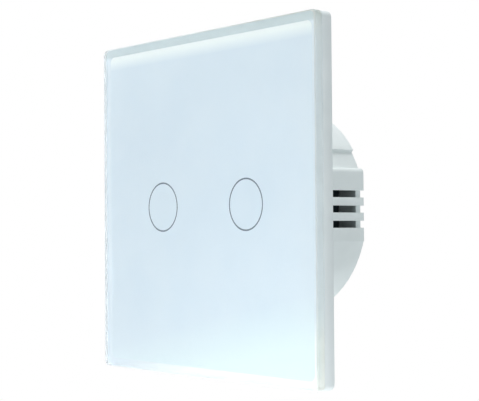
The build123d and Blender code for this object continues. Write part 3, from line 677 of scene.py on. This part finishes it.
def block_tree(name, sizes, finish):
    """A small block of one size at each point."""
    tree, start, end = new_tree(name, sizes)
    size = size_of(tree, start.outputs["Width"], start.outputs["Height"], start.outputs["Length"])
    cube = node_of(tree, "GeometryNodeMeshCube", [("Size", size)])
    placed = node_of(tree, "GeometryNodeInstanceOnPoints", [
        ("Points", start.outputs[0]), ("Instance", cube.outputs[0]),
    ])
    close_tree(tree, end, placed.outputs[0], finish)
    return tree


chip_part_width = 0.8 * mm
chip_part_height = 0.45 * mm
chip_part_length = 1.6 * mm
chip_end_length = 0.3 * mm
ceramic_tan = moulded_plastic("ceramic_tan", srgb(176, 140, 104), srgb(164, 128, 92), 0.4, grain=0.2 * mm)
touch_board_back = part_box("touch_board")[1].y
chip_middle = (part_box("touch_chip")[0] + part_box("touch_chip")[1]) / 2
chip_rows = (-3.0 * mm, 0.0, 3.0 * mm)
chip_columns = {"resistor": (-8.0 * mm, 8.0 * mm), "capacitor": (-10.5 * mm, 10.5 * mm)}
chip_finishes = {"resistor": ("black_plastic", black_plastic), "capacitor": ("film_resin", ceramic_tan)}
for kind, columns in chip_columns.items():
    middles = [
        Vector((column, touch_board_back + chip_part_height / 2, chip_middle.z + row))
        for column in columns for row in chip_rows
    ]
    end_shift = Vector((0.0, 0.0, (chip_part_length - chip_end_length) / 2))
    ends = [middle + sign * end_shift for middle in middles for sign in (-1, 1)]
    slot, finish = chip_finishes[kind]
    for name, points, length, end_slot, end_finish in (
        (f"chip_{kind}s", middles, chip_part_length - 2 * chip_end_length, slot, finish),
        (f"chip_{kind}_ends", ends, chip_end_length, "tinned_metal", tinned_metal),
    ):
        sizes = {"Width": chip_part_width, "Height": chip_part_height, "Length": length}
        chips = grown(name, block_tree(name + "_tree", sizes, end_finish), sizes, points)
        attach(chips, "switch_module")

# Touch points: each has a frosted clear collar that carries the lamps' light to the ring, and inside it
# a coil of spring wire that presses on the back of the glass panel.
guide_acrylic, guide_tree, guide_shader = new_finish("guide_acrylic", roughness=0.35, gloss=0.5)
guide_place = place_on_piece(guide_tree)
guide_clouds = spread(guide_tree, speckle(guide_tree, guide_place, 2 * mm), low=0.0, high=1.0)
guide_colour = blend_colours(guide_tree, guide_clouds, srgb(210, 218, 221), srgb(198, 208, 213))
guide_tree.links.new(guide_colour, guide_shader.inputs["Base Color"])
guide_shader.inputs["Subsurface Weight"].default_value = 0.4
guide_shader.inputs["Subsurface Radius"].default_value = (1 * mm, 1 * mm, 1 * mm)
guide_shader.inputs["Subsurface Scale"].default_value = 1.0
raise_surface(guide_tree, guide_shader, speckle(guide_tree, guide_place, 0.15 * mm), 5 * micron)
spring_steel = plated_metal("spring_steel", srgb(214, 214, 210), srgb(196, 196, 194), 0.24)
spring_wire_radius = 0.25 * mm
spring_wire_sides = 12
spring_turns = 4.0
for side in ("left", "right"):
    softened(
        f"light_guide_{side}", f"light_collar_{side}", "switch_module", guide_acrylic,
        0.12 * mm, segments=3,
    )
    spring_low, spring_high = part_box(f"touch_spring_{side}")
    spring_middle = (spring_low + spring_high) / 2
    wound(
        f"contact_spring_{side}", "switch_module", spring_steel,
        (spring_middle.x, spring_low.y + spring_wire_radius, spring_middle.z),
        spring_high.y - spring_low.y - 2 * spring_wire_radius,
        (spring_high.x - spring_low.x) / 2 - spring_wire_radius, spring_wire_radius, spring_turns,
        node=f"touch_spring_{side}", sides=spring_wire_sides,
    )

# Front cover: a white moulded plate with two round windows, posts for the boards and a pocket for
# each spring clip. Its stakes go through the bearing plate and are spread over by heat.
cover_plastic = moulded_plastic("cover_plastic", srgb(212, 218, 219), srgb(206, 212, 213), 0.45)
softened("front_cover", "cover_plate", "switch_module", cover_plastic, 0.12 * mm)

# Bearing plate: pressed from zinc plated steel sheet, with two round holes and two slots for the wall
# box's screws. Its edges keep the slight roll that the press leaves.
softened("bearing_plate", "steel_plate", "switch_module", zinc_steel, 0.12 * mm)

# Spring clips: four leaves of bent spring steel, pushed into pockets of the front cover.
# They snap into the grooves of the panel's frame and hold it on.
finish_node("panel_clips", spring_steel)

# Housing screws: four countersunk, cross recessed screws of zinc plated steel.
# They go through the cover into the housing's bosses and close the module.
housing_screw_low, housing_screw_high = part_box("housing_screws")
countersunk_head = ((0.9, 1.0), (0.1, 1.0))
screws_for("housing_screws", "cover_screws", {
    "Length": housing_screw_high.y - housing_screw_low.y, "Shank Radius": 0.85 * mm,
    "Head Radius": 1.9 * mm, "Head Height": 1.0 * mm, "Recess Length": 2.4 * mm,
    "Recess Width": 0.5 * mm, "Recess Depth": 0.5 * mm, "Pitch": 0.9 * mm, "Thread Depth": 0.12 * mm,
}, countersunk_head, heads_behind=False)

# Panel frame: a thin satin frame of white plastic, glued behind the glass, with clip grooves inside and
# a notch at the bottom for prying the panel off.
frame_plastic = moulded_plastic(
    "frame_plastic", srgb(222, 228, 229), srgb(216, 223, 224), 0.4, grain=0.15 * mm, depth=2 * micron
)
frame_rim = softened("panel_frame", "frame_rim", "front_panel", frame_plastic, 0.15 * mm)
white_glue = moulded_plastic(
    "white_glue", srgb(227, 238, 246), srgb(223, 235, 244), roughness=0.5,
    grain=0.3 * mm, depth=2 * micron, cloud=6 * mm,
)


def paint_light_and_shade_along(finish, direction, start, full, colour):
    """The finish's colour, changed to another between two places along a direction across the piece, as
    painted light or painted shade.
    """
    tree = finish.node_tree
    shader = tree.nodes["Principled BSDF"]
    plain = shader.inputs["Base Color"].links[0].from_socket
    along = node_of(tree, "ShaderNodeVectorMath", [
        (0, place_on_piece(tree)), (1, direction),
    ], operation="DOT_PRODUCT")
    share = spread(tree, along.outputs["Value"], low=0.0, high=1.0, from_low=start, from_high=full)
    tree.links.new(blend_colours(tree, share, plain, colour), shader.inputs["Base Color"])


upwards = (0.0, 0.0, 1.0)
downwards = (0.0, 0.0, -1.0)
to_left = (-1.0, 0.0, 0.0)
to_lower_right = (0.2, 0.0, -1.0)
glue_layer = 0.1 * mm
flat_on = 0.9
# Painted light: the frame's plastic is painted paler towards its bottom end, as if lit from below.
paint_light_and_shade_along(frame_plastic, downwards, 24.0 * mm, 39.0 * mm, srgb(233, 239, 240))
# Painted shade: the glue line is painted greyer in a thin band along the top edge.
paint_light_and_shade_along(white_glue, upwards, 37.6 * mm, 38.2 * mm, srgb(206, 220, 224))
# Painted light: the glue line is painted whiter towards the lower right corner.
paint_light_and_shade_along(white_glue, to_lower_right, 32.0 * mm, 37.5 * mm, srgb(250, 255, 255))
frame_rim.data.materials.append(white_glue)
glue_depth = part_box("panel_frame")[0].y + glue_layer
for face in frame_rim.data.polygons:
    if face.normal.y < -flat_on and face.center.y < glue_depth:
        face.material_index = 1

# Print on the back of the glass: white ceramic ink fired on, with an open line round each touch point
# that is filled with a translucent grey ink.
white_print = moulded_plastic(
    "white_print", srgb(224, 237, 246), srgb(221, 235, 245), roughness=0.55,
    grain=0.1 * mm, depth=1 * micron, cloud=14 * mm,
)
ring_ink = moulded_plastic(
    "ring_ink", srgb(90, 112, 128), srgb(80, 102, 120), 0.5, grain=0.1 * mm, depth=1 * micron
)
# Painted light: the print is painted whiter just below the top edge, a painted glow where light would come in
# through the glass's top edge.
paint_light_and_shade_along(white_print, upwards, 34.6 * mm, 37.2 * mm, srgb(247, 255, 255))
# Painted light: the print is painted paler towards the lower right corner.
paint_light_and_shade_along(white_print, to_lower_right, 27.0 * mm, 38.0 * mm, srgb(231, 247, 250))
finish_node("back_print", white_print)
finish_node("touch_rings", ring_ink)

# Glass panel: a square of toughened glass, 2 mm thick, with rounded corners and a ground arris.
# It is glued to the frame, so its back lies in the print and in the frame's face with no air between.
glass_size = 80 * mm
glass_corner = 1.5 * mm
glass_arris = 0.3 * mm
glass_back_arris = 0.05 * mm
glass_front, glass_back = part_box("glass_panel")[0].y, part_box("glass_panel")[1].y
glue_line = 0.03 * mm
corner_steps = 8
glass_index = 1.52
glass_tint = (0.985, 1.0, 0.995, 1.0)
grinding_direction = (1.0, 3.0, 1.0)


def glass_tree(sizes, finish, edge_finish):
    """A rounded square, extruded into a plate whose long edges are ground at an angle."""
    tree, start, end = new_tree("glass_plate", sizes)
    arris, size, back_arris = [start.outputs[key] for key in ("Arris", "Size", "Back Arris")]
    inner = worked(tree, "SUBTRACT", size, worked(tree, "MULTIPLY", arris, 2.0))
    outline = node_of(tree, "GeometryNodeCurvePrimitiveQuadrilateral", [(0, inner), (1, inner)])
    inner_corner = worked(tree, "SUBTRACT", start.outputs["Corner"], arris)
    rounded = node_of(tree, "GeometryNodeFilletCurve", [
        ("Curve", outline.outputs[0]), ("Radius", inner_corner), ("Count", corner_steps),
    ], mode="POLY")
    face = node_of(tree, "GeometryNodeFillCurve", [("Curve", rounded.outputs[0])], mode="NGONS")
    plain = worked(tree, "SUBTRACT", start.outputs["Thickness"], worked(tree, "ADD", arris, back_arris))
    back_width = worked(tree, "SUBTRACT", size, worked(tree, "MULTIPLY", back_arris, 2.0))
    steps = [(arris, size), (plain, size), (back_arris, back_width)]
    plate = drawn_up(tree, face.outputs[0], inner, steps)
    placed = node_of(tree, "GeometryNodeInstanceOnPoints", [
        ("Points", start.outputs[0]), ("Instance", plate), ("Rotation", into_wall),
    ])
    real = node_of(tree, "GeometryNodeRealizeInstances", [(0, placed.outputs[0])])
    normal = tree.nodes.new("GeometryNodeInputNormal")
    direction = node_of(tree, "ShaderNodeSeparateXYZ", [(0, normal.outputs[0])])
    level = worked(tree, "ABSOLUTE", direction.outputs["Y"], 0.0)
    on_edge = worked(tree, "LESS_THAN", level, flat_on)
    painted = node_of(tree, "GeometryNodeSetMaterial", [
        ("Geometry", real.outputs[0]), ("Material", finish),
    ])
    ground = node_of(tree, "GeometryNodeSetMaterial", [
        ("Geometry", painted.outputs[0]), ("Selection", on_edge), ("Material", edge_finish),
    ])
    tree.links.new(ground.outputs[0], end.inputs[0])
    return tree


clear_glass, clear_tree, clear_shader = new_finish("clear_glass", roughness=0.0)
clear_shader.inputs["Transmission Weight"].default_value = 1.0
clear_shader.inputs["IOR"].default_value = glass_index
clear_shader.inputs["Base Color"].default_value = glass_tint
smear = speckle(clear_tree, place_on_piece(clear_tree), 22 * mm, detail=4.0)
clear_tree.links.new(spread(clear_tree, smear, low=0.0, high=0.035), clear_shader.inputs["Roughness"])
raise_surface(clear_tree, clear_shader, smear, 2 * micron)
ground_glass, ground_tree, ground_shader = new_finish("ground_glass", roughness=0.5)
ground_shader.inputs["Transmission Weight"].default_value = 0.85
ground_shader.inputs["IOR"].default_value = glass_index
ground_place = place_on_piece(ground_tree)
ground_clouds = spread(ground_tree, speckle(ground_tree, ground_place, 4 * mm), low=0.0, high=1.0)
ground_colour = blend_colours(ground_tree, ground_clouds, srgb(217, 218, 211), srgb(211, 212, 205))
ground_tree.links.new(ground_colour, ground_shader.inputs["Base Color"])
grinding_place = place_on_piece(ground_tree, grinding_direction)
grinding = speckle(ground_tree, grinding_place, 0.08 * mm, detail=4.0)
ground_tree.links.new(spread(ground_tree, grinding, low=0.5, high=0.7), ground_shader.inputs["Roughness"])
raise_surface(ground_tree, ground_shader, grinding, 4 * micron)
# Painted light: the ground edge of the glass is painted paler towards the left.
paint_light_and_shade_along(ground_glass, to_left, -34 * mm, 34 * mm, srgb(252, 255, 255))
# Painted light: the ground edge of the glass is painted paler along the bottom.
paint_light_and_shade_along(ground_glass, downwards, 39.5 * mm, 39.75 * mm, srgb(252, 255, 255))
glass_sizes = {
    "Size": glass_size, "Corner": glass_corner, "Arris": glass_arris, "Back Arris": glass_back_arris,
    "Thickness": glass_back - glass_front + glue_line,
}
glass_place = (0.0, glass_front, 0.0)
glass = grown(
    "glass_plate", glass_tree(glass_sizes, clear_glass, ground_glass), glass_sizes, [glass_place]
)
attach(glass, "front_panel")
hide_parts("glass_panel")

# Floor and light: a wide pale floor well below the switch, and soft lamps as in a product studio.
# The world is white to the eye and to reflections, and lights the switch at a plain level.
floor_drop = 0.16
floor_half = 3.0
floor_near = 0.25
floor_far = 0.9
near_whiteness = 0.75
pure_white = (1.0, 1.0, 1.0, 1.0)
room_level = 0.57
floor_mesh = bpy.data.meshes.new("floor")
floor_mesh.from_pydata(
    [(x * floor_half, y * floor_half, -floor_drop) for x, y in ((-1, -1), (1, -1), (1, 1), (-1, 1))],
    [], [(0, 1, 2, 3)],
)
floor = linked("floor", floor_mesh)
floor_paint, floor_tree, floor_shader = new_finish("floor_paint", roughness=0.9, gloss=0.1)
floor_shader.inputs["Base Color"].default_value = srgb(236, 239, 240)
floor_light = floor_tree.nodes.new("ShaderNodeEmission")
floor_light.inputs["Color"].default_value = pure_white
floor_place = place_on_piece(floor_tree, (1.0, 1.0, 0.0))
from_middle = node_of(floor_tree, "ShaderNodeVectorMath", [(0, floor_place)], operation="LENGTH")
whiteness = spread(
    floor_tree, from_middle.outputs["Value"], near_whiteness, 1.0, from_low=floor_near, from_high=floor_far
)


def seen_share(tree):
    """1 for what the eye, a mirror or clear glass sees directly, and 0 for light on its way to a surface."""
    path = tree.nodes.new("ShaderNodeLightPath")
    share = path.outputs["Is Camera Ray"]
    for kind in ("Is Glossy Ray", "Is Transmission Ray"):
        share = worked(tree, "MAXIMUM", share, path.outputs[kind])
    return share


floor_share = worked(floor_tree, "MULTIPLY", seen_share(floor_tree), whiteness)
floor_mix = node_of(floor_tree, "ShaderNodeMixShader", [
    (0, floor_share), (1, floor_shader.outputs[0]), (2, floor_light.outputs[0]),
])
floor_tree.links.new(floor_mix.outputs[0], floor_tree.nodes["Material Output"].inputs["Surface"])
floor_mesh.materials.append(floor_paint)

world = bpy.data.worlds.new("studio")
scene.world = world
world.use_nodes = True
world_tree = world.node_tree
room_light = world_tree.nodes["Background"]
room_light.inputs["Color"].default_value = srgb(238, 244, 246)
room_light.inputs["Strength"].default_value = room_level
seen_white = node_of(world_tree, "ShaderNodeBackground", [("Color", pure_white)])
world_mix = node_of(world_tree, "ShaderNodeMixShader", [
    (0, seen_share(world_tree)), (1, room_light.outputs[0]), (2, seen_white.outputs[0]),
])
world_tree.links.new(world_mix.outputs[0], world_tree.nodes["World Output"].inputs["Surface"])


def soft_lamp(name, place, target, size, power, colour=(1.0, 1.0, 1.0)):
    """A square soft box at a place, facing a target."""
    data = bpy.data.lights.new(name, "AREA")
    data.shape = "SQUARE"
    data.size = size
    data.energy = power
    data.color = colour
    lamp = bpy.data.objects.new(name, data)
    scene.collection.objects.link(lamp)
    lamp.location = place
    aim = Vector(target) - Vector(place)
    lamp.rotation_mode = "QUATERNION"
    lamp.rotation_quaternion = aim.to_track_quat("-Z", "Y")
    lamp.visible_camera = False
    lamp.visible_glossy = False
    return lamp


daylight = (0.98, 0.99, 1.0)
soft_lamp("front_box", (-0.35, -0.8, 0.25), (0.0, 0.0, 0.0), size=0.6, power=2.7, colour=daylight)
soft_lamp("low_box", (0.055, -0.125, -0.11), (0.01, 0.0, -0.042), size=0.11, power=0.17)
soft_lamp("side_box", (0.42, 0.15, 0.08), (0.03, 0.01, 0.0), size=0.25, power=0.08)
soft_lamp("top_box", (0.0, -0.05, 0.55), (0.0, 0.0, 0.0), size=0.4, power=2.3)

# Camera: to the right of the switch and a little below its middle, looking slightly up at it.
# The angles come from the panel's corners, the rings and the module's outline in the photograph.
photo_width = 479
focal_pixels = 1317.0
sensor_width = 36.0
camera_azimuth = radians(52.635)
camera_aim = radians(-1.745)
camera_pitch = radians(1.425)
camera_roll = radians(-0.431)
camera_distance = 304.85 * mm
camera_height = -6.83 * mm
heading = camera_azimuth + camera_aim
forward = Vector((
    -sin(heading) * cos(camera_pitch), cos(heading) * cos(camera_pitch), sin(camera_pitch),
))
across = forward.cross(Vector((0.0, 0.0, 1.0))).normalized()
upward = across.cross(forward)
camera_right = across * cos(camera_roll) + upward * sin(camera_roll)
camera_up = upward * cos(camera_roll) - across * sin(camera_roll)
camera_data = bpy.data.cameras.new("camera")
camera_data.sensor_width = sensor_width
camera_data.lens = sensor_width * focal_pixels / photo_width
camera_data.clip_start = 0.01
camera_data.clip_end = 20.0
camera = bpy.data.objects.new("camera", camera_data)
scene.collection.objects.link(camera)
camera_turn = Matrix((camera_right, camera_up, -forward)).transposed().to_4x4()
camera_place = Vector((
    camera_distance * sin(camera_azimuth),
    glass_front - camera_distance * cos(camera_azimuth),
    camera_height,
))
camera.matrix_world = Matrix.Translation(camera_place) @ camera_turn
scene.camera = camera
scene.view_settings.view_transform = "Standard"
